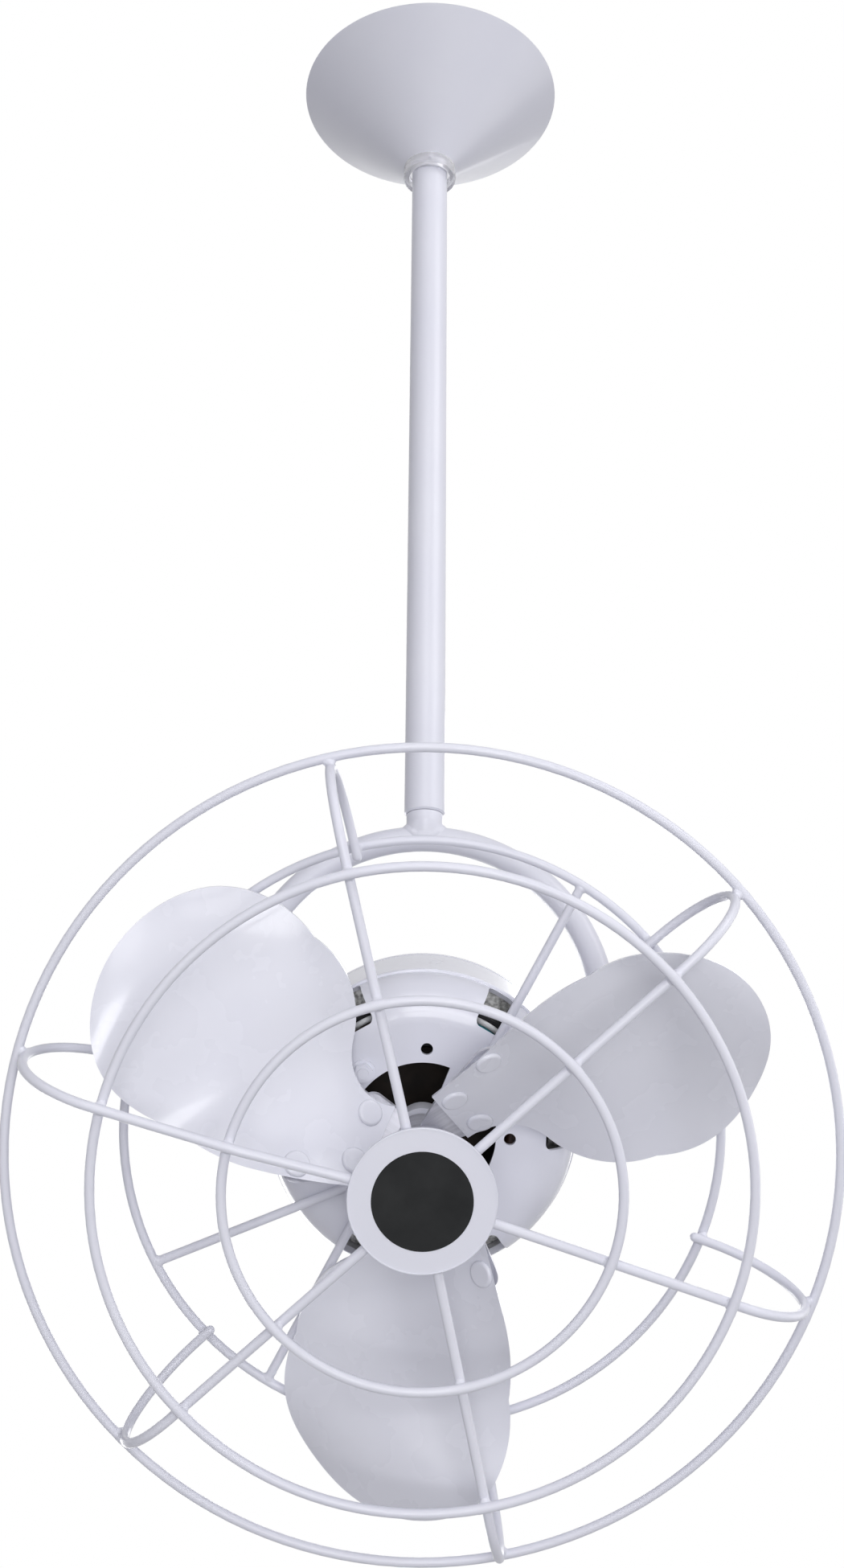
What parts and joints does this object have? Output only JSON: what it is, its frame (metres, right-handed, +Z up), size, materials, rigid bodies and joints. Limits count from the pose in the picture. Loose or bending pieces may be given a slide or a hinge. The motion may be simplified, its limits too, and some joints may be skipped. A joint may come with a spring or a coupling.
{
  "type": "directional ceiling fan",
  "caption": "Single-head directional ceiling fan: conical canopy, plain downrod, bent-tube yoke, and a tilting motor head with paddle blades in a round welded-wire cage.",
  "frame": {"origin": "on the ceiling plane, on the axis of the downrod, midway between the two box-screw holes of the hanger bracket", "axes": "+Z up along the rod into the ceiling, -Y towards the front, where the head faces, +X to the right seen from the front"},
  "size_m": [0.3724, 0.2586, 0.8365],
  "materials": {
    "white_steel": "gloss white paint",
    "white_aluminium": "gloss white paint",
    "bare_aluminium": "satin",
    "bright_steel": "satin",
    "black_plastic": "matt",
    "clear_plastic": "clear, slightly milky",
    "chrome": "polished",
    "laminations": "bare laminated edge",
    "white_plastic": "moulded",
    "copper": "enamelled wire",
    "black_enamel": "gloss black enamel"
  },
  "bodies": {
    "ceiling_part": {"ceiling_bracket": "bright_steel", "hanger_ball": "black_plastic", "ball_pin": "bright_steel", "canopy": "white_steel", "canopy_collar": "clear_plastic", "collar_band": "chrome", "collar_screw": "bright_steel", "downrod": "white_steel", "lock_screw": "bright_steel"},
    "yoke": {"yoke_neck": "white_steel", "yoke_bow": "white_steel"},
    "head": {"cage_cap": "white_steel", "cage_centre_plate": "white_steel", "cage_mount_lower": "white_steel", "cage_mount_upper": "white_steel", "cage_rib_1": "white_steel", "cage_rib_2": "white_steel", "cage_rib_3": "white_steel", "cage_rib_4": "white_steel", "cage_rib_5": "white_steel", "cage_rib_over": "white_steel", "cage_ring_front": "white_steel", "cage_ring_middle": "white_steel", "cage_ring_rear": "white_steel", "cage_ring_small": "white_steel", "cap_inlay": "black_enamel", "cap_screw": "bright_steel", "face_nuts": "bright_steel", "face_studs": "bright_steel", "face_washers": "bright_steel", "front_bearing": "bright_steel", "motor_front_shell": "white_aluminium", "motor_rear_shell": "white_aluminium", "rear_bearing": "bright_steel", "shell_screws": "bright_steel", "stator_core": "laminations", "stator_insulators": "white_plastic", "stator_windings": "copper", "tilt_bolts": "bright_steel", "tilt_washers": "bright_steel"},
    "rotor": {"rotor_core": "laminations", "motor_shaft": "bright_steel", "blade_hub": "bare_aluminium", "blade_1": "white_aluminium", "blade_2": "white_aluminium", "blade_3": "white_aluminium", "blade_rivets": "white_aluminium", "hub_nut": "bright_steel"}
  },
  "joints": [
    {"name": "yoke_swivel", "type": "hinge", "parent": "ceiling_part", "child": "yoke", "pos_m": [0, 0, -0.48], "axis": [0, 0, 1], "range_deg": [-170, 170]},
    {"name": "head_tilt", "type": "hinge", "parent": "yoke", "child": "head", "pos_m": [0, 0, -0.63], "axis": [1, 0, 0], "range_deg": [-27, 153]},
    {"name": "rotor_spin", "type": "hinge", "parent": "head", "child": "rotor", "pos_m": [0, -0.05881, -0.65996], "axis": [0, -0.891, -0.454], "continuous": true}
  ]
}
